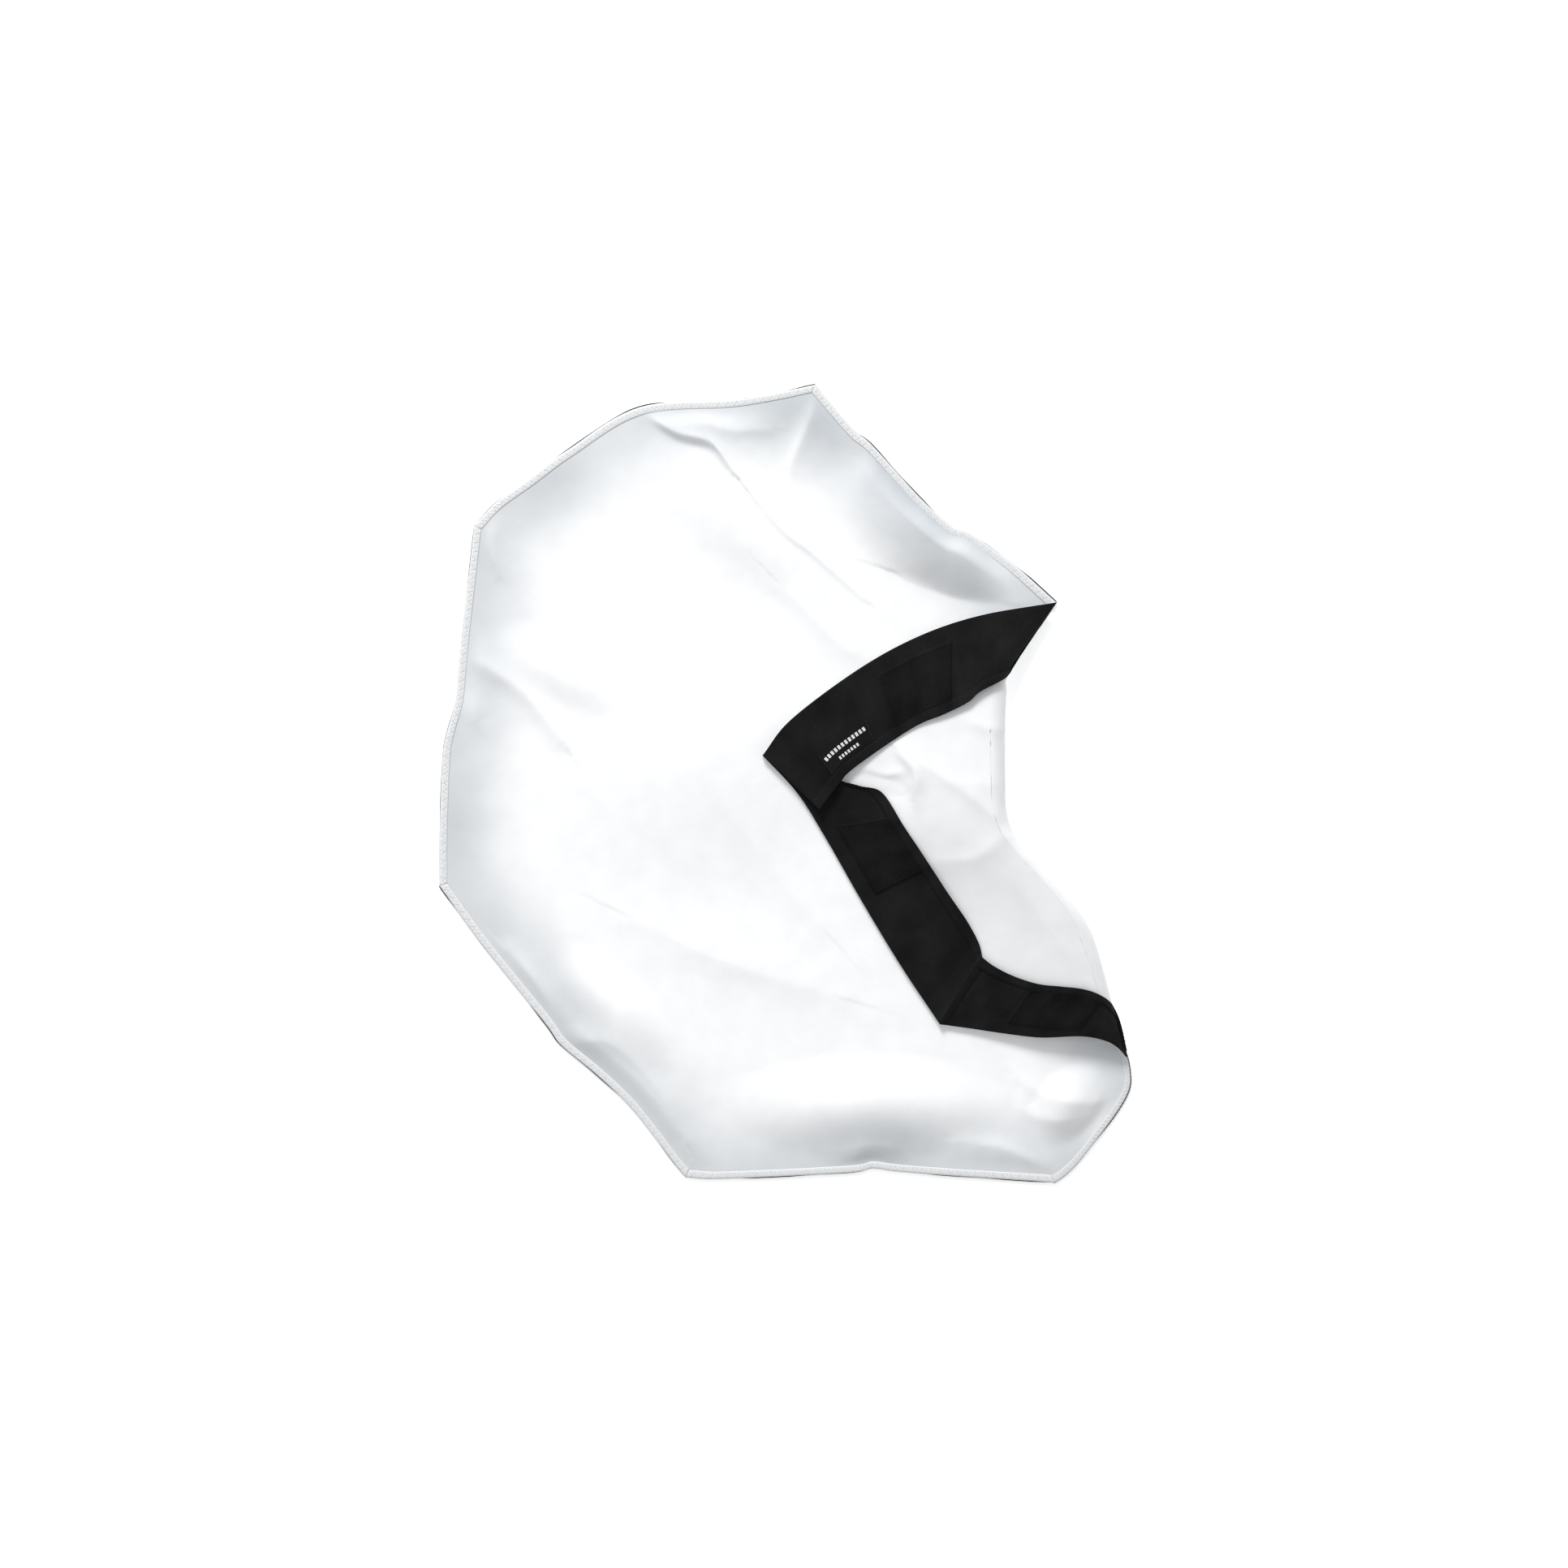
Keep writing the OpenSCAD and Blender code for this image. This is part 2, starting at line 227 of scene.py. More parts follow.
def creaseHeight(p, crease):
    line, high, leftWide, rightWide = crease
    q = smoothLine(line, creaseShape["steps"])
    best = np.full(p.shape[:-1], farAway)
    share, side = np.zeros_like(best), np.zeros_like(best)
    for i in range(len(q["at"]) - 1):
        a, d = q["at"][i], q["at"][i + 1] - q["at"][i]
        u = np.clip(((p - a) @ d) / (d @ d), 0, 1)
        off = p - a - u[..., None] * d
        far = np.hypot(off[..., 0], off[..., 1])
        near = far < best
        best = np.where(near, far, best)
        at = (q["run"][i] + u * math.sqrt(d @ d)) / q["run"][-1]
        share = np.where(near, at, share)
        side = np.where(near, d[0] * off[..., 1] - d[1] * off[..., 0], side)
    across = np.where(side > 0, leftWide, rightWide)
    end = creaseShape["endShare"]
    fade = np.sin(math.pi * np.clip(end + (1 - 2 * end) * share, 0, 1)) ** creaseShape["endPower"]
    return high * fade * np.exp(-(best / across) ** creaseShape["acrossPower"])


def edgeDistance(p, sides):  # how far in from the nearest of these sides
    best = np.full(p.shape[:-1], farAway)
    for name in sides:
        q = sideLines[name][0]["at"][::creaseShape["edgeSkip"]]
        for i in range(len(q) - 1):
            a, d = q[i], q[i + 1] - q[i]
            u = np.clip(((p - a) @ d) / max(d @ d, 1e-9), 0, 1)
            off = p - a - u[..., None] * d
            best = np.minimum(best, np.hypot(off[..., 0], off[..., 1]))
    return best


def rise(p):  # height of the relief of the cloth that lies flat
    total = sum(humpHeight(p, h) for h in humps) + sum(creaseHeight(p, c) for c in creases)
    inside = edgeDistance(p, flatSides) - creaseShape["edgeFlat"]
    return np.maximum(0, total) * smooth(inside / creaseShape["edgeSoft"])


foldUp = fold["at"][::-1]  # the fold from its low end up, to read its x at a given y


def foldBack(p):  # how far to the left of the fold
    return np.interp(p[..., 1], foldUp[:, 1], foldUp[:, 0]) - p[..., 0]


def turnedHeight(p):  # height of the turned cloth's underside
    humped = sum(humpHeight(p, h) for h in humps)
    share = np.interp(p[..., 1], [y for y, k in roll["share"]], [k for y, k in roll["share"]])
    detail = sum(creaseHeight(p, c) for c in turnedCreases)
    lifted = roll["high"] * share * (1 - smooth(foldBack(p) / roll["settle"]))
    return layers["turnedLowest"] + humped + lifted + np.maximum(creaseShape["turnedDeep"],
                                                                 detail)


def rolledHeight(p):  # the same, but following the roll down where the cloth turns over
    z = turnedHeight(p)
    beyond = np.clip((roll["deep"] - foldBack(p)) / roll["deep"], 0, 1)
    half = (z - layers["foot"]) / 2
    return z - half * (1 - np.sqrt(1 - beyond * beyond))


def patchAt(low, high, left, right, s, t):  # a surface between four lines
    a, b, c, d = along(low, s), along(high, s), along(left, t), along(right, t)
    s, t = s[..., None], t[..., None]
    ends = ((low["at"][0] * (1 - s) + low["at"][-1] * s) * (1 - t)
            + (high["at"][0] * (1 - s) + high["at"][-1] * s) * t)
    return a * (1 - t) + b * t + c * (1 - s) + d * s - ends


def joined(*parts):  # one line from several, without doubled points
    at = np.vstack(parts)
    tiny = 1e-6
    keep = np.concatenate([[True], np.linalg.norm(np.diff(at, axis=0), axis=1) > tiny])
    at = at[keep]
    run = np.concatenate([[0], np.cumsum(np.linalg.norm(np.diff(at, axis=0), axis=1))])
    return {"at": at, "run": run}


def gridPiece(name, columns, rows, lay, thick, offset=0.0):
    # a sheet from a grid: lay(s, t) gives its places and its flat places for the UV map
    bm = bmesh.new()
    bmesh.ops.create_grid(bm, x_segments=columns, y_segments=rows, size=0.5)
    mesh = bpy.data.meshes.new(name)
    bm.to_mesh(mesh)
    bm.free()
    co = np.empty(len(mesh.vertices) * 3)
    mesh.vertices.foreach_get("co", co)
    st = co.reshape(-1, 3)[:, :2] + 0.5
    at, flat = lay(st[:, 0], st[:, 1])
    mesh.vertices.foreach_set("co", (at * mm).ravel())
    uv = mesh.uv_layers.new(name="cloth")
    loops = np.empty(len(mesh.loops), int)
    mesh.loops.foreach_get("vertex_index", loops)
    uv.data.foreach_set("uv", (flat[loops] * mm).ravel())
    mesh.shade_smooth()
    mesh.update()
    obj = bpy.data.objects.new(name, mesh)
    bpy.context.scene.collection.objects.link(obj)
    if thick:
        mod = obj.modifiers.new("thickness", "SOLIDIFY")
        mod.thickness = thick * mm
        mod.offset = offset
    return obj


def faceUp(obj):  # a grid that came out facing down is turned over
    if sum(p.normal.z * p.area for p in obj.data.polygons) < 0:
        obj.data.flip_normals()


def newMaterial(name):
    mat = bpy.data.materials.new(name)
    mat.use_nodes = True
    nodes, links = mat.node_tree.nodes, mat.node_tree.links
    return mat, nodes, links, nodes["Principled BSDF"]


weave = {"perMetre": 0.314, "uneven": 0.4, "detail": 1}  # perMetre: a wave's scale at pitch 1 m


def weaveHeight(nodes, links, pitch, coordinate):  # plain weave: two crossed sets of threads
    total = None
    for turn in (0, 1):
        wave = nodes.new("ShaderNodeTexWave")
        wave.bands_direction = "XY"[turn]
        wave.inputs["Scale"].default_value = weave["perMetre"] / pitch
        wave.inputs["Distortion"].default_value = weave["uneven"]
        wave.inputs["Detail"].default_value = weave["detail"]
        links.new(coordinate, wave.inputs["Vector"])
        if total is None:
            total = wave.outputs["Fac"]
        else:
            join = nodes.new("ShaderNodeMath")
            join.operation = "MULTIPLY"
            links.new(total, join.inputs[0])
            links.new(wave.outputs["Fac"], join.inputs[1])
            total = join.outputs[0]
    return total


def noise(nodes, links, coordinate, scale, detail=3):
    tex = nodes.new("ShaderNodeTexNoise")
    tex.inputs["Scale"].default_value = scale
    tex.inputs["Detail"].default_value = detail
    links.new(coordinate, tex.inputs["Vector"])
    return tex.outputs["Fac"]


def ramp(nodes, links, value, stops):
    node = nodes.new("ShaderNodeValToRGB")
    for k, (at, colour) in enumerate(stops):
        stop = node.color_ramp.elements[k] if k < 2 else node.color_ramp.elements.new(at)
        stop.position = at
        stop.color = (*colour, 1)
    links.new(value, node.inputs["Fac"])
    return node.outputs["Color"]


def bump(nodes, links, height, strength, distance, shader, below=None):
    node = nodes.new("ShaderNodeBump")
    node.inputs["Strength"].default_value = strength
    node.inputs["Distance"].default_value = distance
    links.new(height, node.inputs["Height"])
    if below:
        links.new(below, node.inputs["Normal"])
    if shader:
        links.new(node.outputs["Normal"], shader.inputs["Normal"])
    return node.outputs["Normal"]


def uvOf(nodes):
    node = nodes.new("ShaderNodeUVMap")
    node.uv_map = "cloth"
    return node.outputs["UV"]


def objectOf(nodes):
    return nodes.new("ShaderNodeTexCoord").outputs["Object"]


def mixed(nodes, links, first, second, blend="MIX", share=None):
    node = nodes.new("ShaderNodeMix")
    node.data_type, node.blend_type = "RGBA", blend
    factor, colourA, colourB = node.inputs[0], node.inputs[6], node.inputs[7]
    amount = 1 if share is None else share
    for socket, value in ((factor, amount), (colourA, first), (colourB, second)):
        if isinstance(value, bpy.types.NodeSocket):
            links.new(value, socket)
        else:
            socket.default_value = value
    return node.outputs[2]


def finish(shader, look):
    shader.inputs["Roughness"].default_value = look["roughness"]
    shader.inputs["Specular IOR Level"].default_value = look["specular"]
    if "sheen" in look:
        shader.inputs["Sheen Weight"].default_value = look["sheen"]
        shader.inputs["Sheen Roughness"].default_value = look["sheenRoughness"]


whiteLook = {
    "plain": (0.87, 0.875, 0.88, 1), "borderAndShadeGrey": (0.50, 0.525, 0.545, 1),
    "mottleScale": 60, "mottle": [(0.3, (0.95, 0.95, 0.955)), (0.7, (1, 1, 1))],
    "roughness": 0.62, "specular": 0.3, "sheen": 0.25, "sheenRoughness": 0.4,
    "softScale": 35, "softStrength": 0.12, "softDeep": 0.003,
    "pitch": 0.0005, "weaveStrength": 0.25, "weaveDeep": 0.0002,
}
wovenLook = {
    "grainScale": 1100, "grainLow": 0.3, "grainHigh": 0.75,
    "specular": 0.12, "sheen": 0.02, "sheenRoughness": 0.5,
    "softScale": 55, "softStrength": 0.2, "softDeep": 0.002,
    "weaveStrength": 0.6, "weaveDeep": 0.0004,
}
napLook = {
    "napScale": 1400, "napLow": 0.35, "napHigh": 0.7, "strength": 0.7, "deep": 0.0006,
    "roughness": 0.95, "specular": 0.08, "sheen": 0.02, "sheenRoughness": 0.5,
}
threadLook = {
    "twistScale": 2500, "twistLow": 0.3, "twistHigh": 0.7, "strength": 0.4, "deep": 0.0002,
    "roughness": 0.7, "specular": 0.15,
}
rubbing = {"scale": 34, "detail": 5, "low": 0.36, "high": 0.64, "border": 0.35, "tape": 0.4}


def whiteCloth():  # greyer where the dark border lies behind it, and with painted shade and painted light in spots
    mat, nodes, links, shader = newMaterial("diffusion cloth")
    uv = uvOf(nodes)
    # this attribute carries the dark border showing through, together with painted shade and
    # painted light
    shade = nodes.new("ShaderNodeAttribute")
    shade.attribute_name = "borderAndPaintedShade"
    cloth = mixed(nodes, links, whiteLook["plain"], whiteLook["borderAndShadeGrey"],
                  share=shade.outputs["Fac"])
    mottle = ramp(nodes, links, noise(nodes, links, uv, whiteLook["mottleScale"]),
                  whiteLook["mottle"])
    links.new(mixed(nodes, links, cloth, mottle, "MULTIPLY"), shader.inputs["Base Color"])
    finish(shader, whiteLook)
    soft = bump(nodes, links, noise(nodes, links, uv, whiteLook["softScale"], 4),
                whiteLook["softStrength"], whiteLook["softDeep"], None)
    bump(nodes, links, weaveHeight(nodes, links, whiteLook["pitch"], uv),
         whiteLook["weaveStrength"], whiteLook["weaveDeep"], shader, soft)
    return mat


def rubbed(nodes, links, colour, coordinate, dull):  # broad patches, darker and lighter
    broad = noise(nodes, links, coordinate, rubbing["scale"], rubbing["detail"])
    patches = ramp(nodes, links, broad, [(rubbing["low"], (dull, dull, dull)),
                                         (rubbing["high"], (1, 1, 1))])
    return mixed(nodes, links, colour, patches, "MULTIPLY")


def wovenTape(name, colour, light, pitch, roughness, dull=None):
    mat, nodes, links, shader = newMaterial(name)
    uv = uvOf(nodes)
    grain = ramp(nodes, links, noise(nodes, links, uv, wovenLook["grainScale"], 4),
                 [(wovenLook["grainLow"], colour), (wovenLook["grainHigh"], light)])
    if dull:
        grain = rubbed(nodes, links, grain, uv, dull)
    links.new(grain, shader.inputs["Base Color"])
    finish(shader, {**wovenLook, "roughness": roughness})
    soft = bump(nodes, links, noise(nodes, links, uv, wovenLook["softScale"], 4),
                wovenLook["softStrength"], wovenLook["softDeep"], None)
    bump(nodes, links, weaveHeight(nodes, links, pitch, uv), wovenLook["weaveStrength"],
         wovenLook["weaveDeep"], shader, soft)
    return mat


def napTape(name, colour, light, coordinate):  # hook tape: a short dense nap
    mat, nodes, links, shader = newMaterial(name)
    at = coordinate(nodes)
    nap = noise(nodes, links, at, napLook["napScale"], 2)
    worn = ramp(nodes, links, nap, [(napLook["napLow"], colour), (napLook["napHigh"], light)])
    links.new(rubbed(nodes, links, worn, at, rubbing["tape"]), shader.inputs["Base Color"])
    finish(shader, napLook)
    bump(nodes, links, nap, napLook["strength"], napLook["deep"], shader)
    return mat


def thread(name, colour, light):
    mat, nodes, links, shader = newMaterial(name)
    twist = noise(nodes, links, objectOf(nodes), threadLook["twistScale"], 1)
    links.new(ramp(nodes, links, twist, [(threadLook["twistLow"], colour),
                                         (threadLook["twistHigh"], light)]),
              shader.inputs["Base Color"])
    finish(shader, threadLook)
    bump(nodes, links, twist, threadLook["strength"], threadLook["deep"], shader)
    return mat


clothMaterial = whiteCloth()
hemMaterial = wovenTape("white hem", (0.72, 0.73, 0.74), (0.82, 0.83, 0.835), 0.0006, 0.7)
borderMaterial = wovenTape("dark border", (0.0046, 0.0046, 0.0048), (0.0132, 0.0132, 0.0135),
                           0.0007, 0.8, rubbing["border"])
tapeMaterial = napTape("hook tape", (0.0055, 0.0055, 0.0057), (0.014, 0.014, 0.0142), uvOf)
flatTapeMaterial = napTape("hook tape below", (0.004, 0.004, 0.0045), (0.012, 0.012, 0.013),
                           objectOf)
labelMaterial = wovenTape("label satin", (0.0025, 0.0025, 0.0025), (0.005, 0.005, 0.005),
                          0.0003, 0.45)
barThread = thread("label bars", (0.5, 0.5, 0.5), (0.72, 0.72, 0.72))
greyThread = thread("grey thread", (0.012, 0.012, 0.012), (0.03, 0.03, 0.03))
whiteThread = thread("white thread", (0.6, 0.61, 0.63), (0.78, 0.79, 0.80))
blackThread = thread("black thread", (0.001, 0.001, 0.001), (0.003, 0.003, 0.003))
print("materials made")


def dress(obj, material):
    obj.data.materials.clear()
    obj.data.materials.append(material)


def giveShade(obj, value):
    attribute = obj.data.attributes.new("borderAndPaintedShade", "FLOAT", "POINT")
    attribute.data.foreach_set("value", value.astype(np.float32))


frontCloth = {
    "columns": 290, "rows": 330, "foldFrom": 9, "foldTo": -4,  # the stretch of fold that it meets
    "meetLow": -172, "meetHigh": 112, "meetWide": 14,
}
turnedCloth = {
    "columns": 110, "rows": 200, "rollShare": 0.26, "thick": 0.3, "foldFrom": 0.02,
    "foldTo": 0.93, "topFrom": 4, "tailFrom": 6, "rollFlat": 30, "lastRow": 0.9999,
}
lineSteps = {"hem": 60, "fold": 120}
seamIn = 0.2  # cloth and border end this far inside the hem's edge


def hemLine(side):
    return placeOn(side, np.linspace(0, 1, lineSteps["hem"]), seamIn)


def frontLay(s, t):
    low = joined(hemLine("bottom")[::-1])
    left = joined(hemLine("lowerLeft"), hemLine("left"))
    high = joined(hemLine("upperLeft"))
    foot = along(fold, np.linspace(1, 0, lineSteps["fold"])) - [roll["deep"], 0]
    foot = foot[frontCloth["foldFrom"]:frontCloth["foldTo"]]
    right = joined(hemLine("lowerRight")[::-1], foot, hemLine("upperRight")[::-1])
    p = patchAt(low, high, left, right, s, t)
    z = layers["cloth"] + rise(p)
    back = foldBack(p) - roll["deep"]
    inside = (p[:, 1] < frontCloth["meetHigh"]) & (p[:, 1] > frontCloth["meetLow"])
    meet = np.where(inside, 1 - smooth(back / frontCloth["meetWide"]), 0)
    z = z + (layers["foot"] - z) * meet
    return np.column_stack([p, z]), p


def turnedPlan(s, t):
    topLine, tailLine = hemLine("turnedTop"), hemLine("turnedTail")[::-1]
    shares = np.linspace(turnedCloth["foldFrom"], turnedCloth["foldTo"], lineSteps["fold"])
    start = along(fold, shares) - [roll["deep"], 0]
    low = joined(start[:1], topLine[turnedCloth["topFrom"]:])
    high = joined(start[-1:], tailLine[turnedCloth["tailFrom"]:])
    return patchAt(low, high, joined(start), joined(hemLine("turnedSide")), s, t)


def turnedLay(s, t):  # s runs from the turned edge to the fold, and then down round the roll
    flatPart = 1 - turnedCloth["rollShare"]
    lying = s <= flatPart
    across = np.where(lying, 1 - s / flatPart, 0)
    p = turnedPlan(across, t)
    z = turnedHeight(p)
    angle = np.where(lying, 0, (s - flatPart) / turnedCloth["rollShare"]) * math.pi
    half = (z - layers["foot"]) / 2
    x = p[:, 0] + roll["deep"] * np.sin(angle)
    z = np.where(lying, z, layers["foot"] + half + half * np.cos(angle))
    # only the last row is left on the cloth below
    z = np.where(s > turnedCloth["lastRow"], layers["foot"],
                 np.maximum(z, layers["foot"] + roll["clear"]))
    flat = np.column_stack([-p[:, 0] - turnedCloth["rollFlat"] * angle, p[:, 1]])
    return np.column_stack([x, p[:, 1], z]), flat


front = gridPiece("clothFront", frontCloth["columns"], frontCloth["rows"], frontLay, 0)
faceUp(front)
back = gridPiece("clothTurned", turnedCloth["columns"], turnedCloth["rows"], turnedLay,
                 turnedCloth["thick"])
faceUp(back)

# spots of grey, partly the dark border showing through where the cloth lies close on it and partly
# painted shade (painted light where the amount is below 0): place, radius, how much darker
paintedShadeSpots = [
    ((112, 134), 40, 0.7), ((86, 182), 46, 0.95), ((62, -226), 55, 0.4),
    ((205, -222), 34, -0.35), ((60, 192), 34, 0.35), ((-150, 195), 50, 0.2),
    ((-140, -180), 50, 0.25), ((-222, -30), 50, 0.15), ((10, 228), 50, 0.5),
    ((-198, 150), 34, 0.1), ((-120, 222), 45, -0.15), ((-30, -238), 40, -0.15),
    ((150, 150), 20, -0.3), ((-215, 60), 20, -0.15),
]
# levels of the dark border showing through, how it fades in from the edges, and the turned cloth's
# even grey
showing = {"least": 0.42, "touching": 0.3, "lift": 5, "from": 6, "wide": 58, "turned": 0.25}


def showThroughAndPaintedShade(p):  # how far the dark border shows through the cloth, with painted shade and painted light added in spots
    depth = edgeDistance(p[:, :2], flatSides)
    lifted = np.maximum(0, p[:, 2] - layers["cloth"])
    level = showing["least"] + showing["touching"] * np.exp(-lifted / showing["lift"])
    # each spot paints shade, or paints light where its amount is below 0
    for at, radius, paintedDarkening in paintedShadeSpots:
        far = np.hypot(p[:, 0] - at[0], p[:, 1] - at[1])
        level = level + paintedDarkening * (1 - smooth(far / radius))
    return np.clip(level, 0, 1) * (1 - smooth((depth - showing["from"]) / showing["wide"]))


giveShade(front, showThroughAndPaintedShade(np.array([v.co for v in front.data.vertices]) / mm))
# the turned cloth gets one even grey all over, on the same scale as the front's grey
giveShade(back, np.full(len(back.data.vertices), showing["turned"]))
dress(front, clothMaterial)
dress(back, clothMaterial)
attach(front, spread)
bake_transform(back)
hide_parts("diffusion_panel")
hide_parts("turned_panel")
print("white cloth laid")

uvLong = 250  # a side's length in the UV maps, near enough for the patterns
hemShape = {
    "columns": 8, "rows": 140, "thick": 0.18, "overCloth": 0.3, "under": 1.1, "gap": 0.02,
    "crown": 0.96, "pucker": 0.12, "puckers": 260, "tuckFrom": 0.93,
}
turnedHemShape = {
    "columns": 4, "rows": 100, "thick": 0.4, "below": 0.35, "pucker": 0.1, "puckers": 200,
}
borderShape = {
    "columns": 20, "rows": 160, "thick": 0.5, "overPatch": 0.35,
    "waves": (11.3, 27, 0.7), "waveShare": 0.5, "waveOut": 0.1, "mostOut": 0.6,
}
foldEnd = {"out": 0.8, "frayed": 0.2, "frays": 300, "middle": 0.5, "fade": 0.2}
turnedBorderShape = {
    "columns": 60, "rows": 160, "thick": 0.5, "overCloth": 0.65, "foldIn": 6.0, "ridge": 0.9,
    "ridgeFrom": 0.9, "groove": 0.25, "grooveAt": 1.12, "sharp": 6,
    "mitreHigh": 1.3, "mitreWide": 2.4, "lapHigh": 1.3, "lapFrom": 0.8, "lapLong": 0.14,
}
# how the turned border lifts between its seams: waves along a side, where they start, height
ruffles = {"turnedTop": (7.5, 0.6, 1.6), "turnedSide": (9, 2.0, 1.0), "turnedTail": (5, 0.2, 1.2)}
nodeNames = {
    "bottom": "bottom", "lowerLeft": "lower_left", "left": "left", "upperLeft": "upper_left",
    "upperRight": "upper_right", "lowerRight": "lower_right", "turnedTop": "top",
    "turnedSide": "side", "turnedTail": "tail",
}
# how far each lower border peeks out past the cloth at most
peek = {"bottom": 0.9, "lowerLeft": 1.0, "left": 0.4, "upperLeft": 1.1, "upperRight": 1.1,
        "lowerRight": 0.9}


def flatHemLay(side):
    def lay(s, t):
        w = (1 - s) * layers["hemWide"]
        p = placeOn(side, t, w)
        crown = np.sqrt(np.clip(1 - (2 * s - 1) ** 2 * hemShape["crown"], 0, 1))
        pucker = hemShape["pucker"] * np.sin(t * hemShape["puckers"]) * crown
        z = layers["cloth"] + hemShape["gap"] + hemShape["overCloth"] * crown + pucker
        z = np.where(s > hemShape["tuckFrom"], hemShape["under"], z)
        return np.column_stack([p, z]), np.column_stack([t * uvLong, w])
    return lay


def flatBorderLay(side):
    def lay(s, t):
        slow, quick, share = borderShape["waves"]
        waves = np.sin(t * slow + len(side)) + share * np.sin(t * quick + 2 * len(side))
        out = peek[side] * np.clip(borderShape["waveShare"] * waves + borderShape["waveOut"], 0,
                                   borderShape["mostOut"])
        if side == "lowerRight":  # it shows all along its half beside the fold
            frays = foldEnd["out"] + foldEnd["frayed"] * np.sin(t * foldEnd["frays"])
            out = peek[side] * frays * (1 - smooth((t - foldEnd["middle"]) / foldEnd["fade"]))
        w = -out + s * (layers["borderWide"] + out)
        p = placeOn(side, t, w)
        z = np.full(len(s), layers["patch"] + borderShape["overPatch"])
        return np.column_stack([p, z]), np.column_stack([t * uvLong, w])
    return lay


def turnedBorderHeight(side, p, s, t):
    shape = turnedBorderShape
    waves, start, high = ruffles[side]
    ruffle = high * (1 + np.sin(waves * t + start)) * s * s
    # the top side's end laps over the next side, and the seam at the lower tip stands up a little
    lap = shape["lapHigh"] * smooth((t - shape["lapFrom"]) / shape["lapLong"])
    ends = {"turnedTop": farAway, "turnedSide": 1 - t, "turnedTail": t}[side]
    far = ends * sideLines[side][0]["run"][-1] / shape["mitreWide"]
    seam = shape["mitreHigh"] * np.exp(-far * far)
    return (rolledHeight(p) + shape["overCloth"] + ruffle
            + (lap if side == "turnedTop" else 0) + seam)


def turnedBorderLay(side):
    def lay(s, t):
        shape = turnedBorderShape
        w = seamIn + s * (layers["borderWide"] - seamIn)
        p = placeOn(side, t, w)
        z = turnedBorderHeight(side, p, s, t)
        foldIn = (layers["borderWide"] - w) / shape["foldIn"]
        z = z + shape["ridge"] * (1 - smooth((foldIn - shape["ridgeFrom"]) * shape["sharp"]))
        z = z - shape["groove"] * np.exp(-((foldIn - shape["grooveAt"]) * shape["sharp"]) ** 2)
        return np.column_stack([p, z]), np.column_stack([t * uvLong, w])
    return lay


def turnedHemLay(side):
    def lay(s, t):
        w = s * layers["hemWide"]
        p = placeOn(side, t, w)
        pucker = turnedHemShape["pucker"] * np.sin(t * turnedHemShape["puckers"])
        z = rolledHeight(p) - turnedHemShape["below"] + pucker
        return np.column_stack([p, z]), np.column_stack([t * uvLong, w])
    return lay


threadShape = {"alike": 0.9, "bevel": 0.3}  # alike: an edge this near the thread's length is long


def stitches(name, places, wideMm, thickMm, material, body):
    # one short thread for each pair of places, joined into one piece
    bm = bmesh.new()
    for a, b in places:
        a, b = Vector(a) * mm, Vector(b) * mm
        d = b - a
        made = bmesh.ops.create_cube(bm, size=1)["verts"]
        scale = Matrix.Diagonal((d.length, wideMm * mm, thickMm * mm, 1))
        turn = d.to_track_quat("X", "Z").to_matrix().to_4x4()
        bmesh.ops.transform(bm, matrix=Matrix.Translation((a + b) / 2) @ turn @ scale,
                            verts=made)
        long = [e for e in bm.edges if e.verts[0] in made and abs(
            (e.verts[1].co - e.verts[0].co).dot(d.normalized())) > d.length * threadShape["alike"]]
        bmesh.ops.bevel(bm, geom=long, affect="EDGES", offset=thickMm * mm * threadShape["bevel"],
                        segments=1, profile=0.5, material=-1)
    mesh = bpy.data.meshes.new(name)
    bm.to_mesh(mesh)
    bm.free()
    obj = bpy.data.objects.new(name, mesh)
    bpy.context.scene.collection.objects.link(obj)
    dress(obj, material)
    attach(obj, body)


def zigzag(side, w0, w1, high, pitch):  # a thread that runs to and fro along a hem
    count = max(2, int(sideLines[side][0]["run"][-1] / pitch))
    t = np.linspace(0, 1, count + 1)
    w = np.where(np.arange(count + 1) % 2 == 0, w0, w1)
    at = np.column_stack([placeOn(side, t, w), np.full(count + 1, high)])
    return list(zip(at[:-1], at[1:]))


def runStitch(side, ends, height, pitch, gap):
    # straight stitches along lines given as (t, w) from and to, in shares and millimetres
    out = []
    for (ta, wa), (tb, wb) in zip(ends[:-1], ends[1:]):
        a, b = placeOn(side, ta, wa), placeOn(side, tb, wb)
        count = max(1, int(np.linalg.norm(b - a) / pitch))
        for i in range(count):
            k = np.array([i / count, (i + 1 - gap / pitch) / count])
            t, w = ta + (tb - ta) * k, wa + (wb - wa) * k
            p = placeOn(side, t, w)
            z = height(p, w / layers["borderWide"], t)
            q = np.column_stack([p, z])
            out.append((q[0], q[1]))
    return out


zigzagShape = {"from": 1.3, "to": 3.9, "above": 0.22, "pitch": 1.5, "wide": 0.4, "thick": 0.3}
hemTop = layers["cloth"] + hemShape["gap"] + hemShape["overCloth"]
for side in flatSides:
    node = nodeNames[side]
    hem = gridPiece("hem_" + node + "_sewn", hemShape["columns"], hemShape["rows"],
                    flatHemLay(side), hemShape["thick"], 1)
    faceUp(hem)
    dress(hem, hemMaterial)
    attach(hem, spread)
    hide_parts("hem_" + node)
    border = gridPiece("border_" + node + "_sewn", borderShape["columns"],
                       borderShape["rows"], flatBorderLay(side), borderShape["thick"])
    faceUp(border)
    dress(border, borderMaterial)
    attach(border, spread)
    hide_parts("border_" + node)
    run = zigzag(side, zigzagShape["from"], zigzagShape["to"], hemTop + zigzagShape["above"],
                 zigzagShape["pitch"])
    stitches("zigzag_" + node, run, zigzagShape["wide"], zigzagShape["thick"], whiteThread,
             spread)

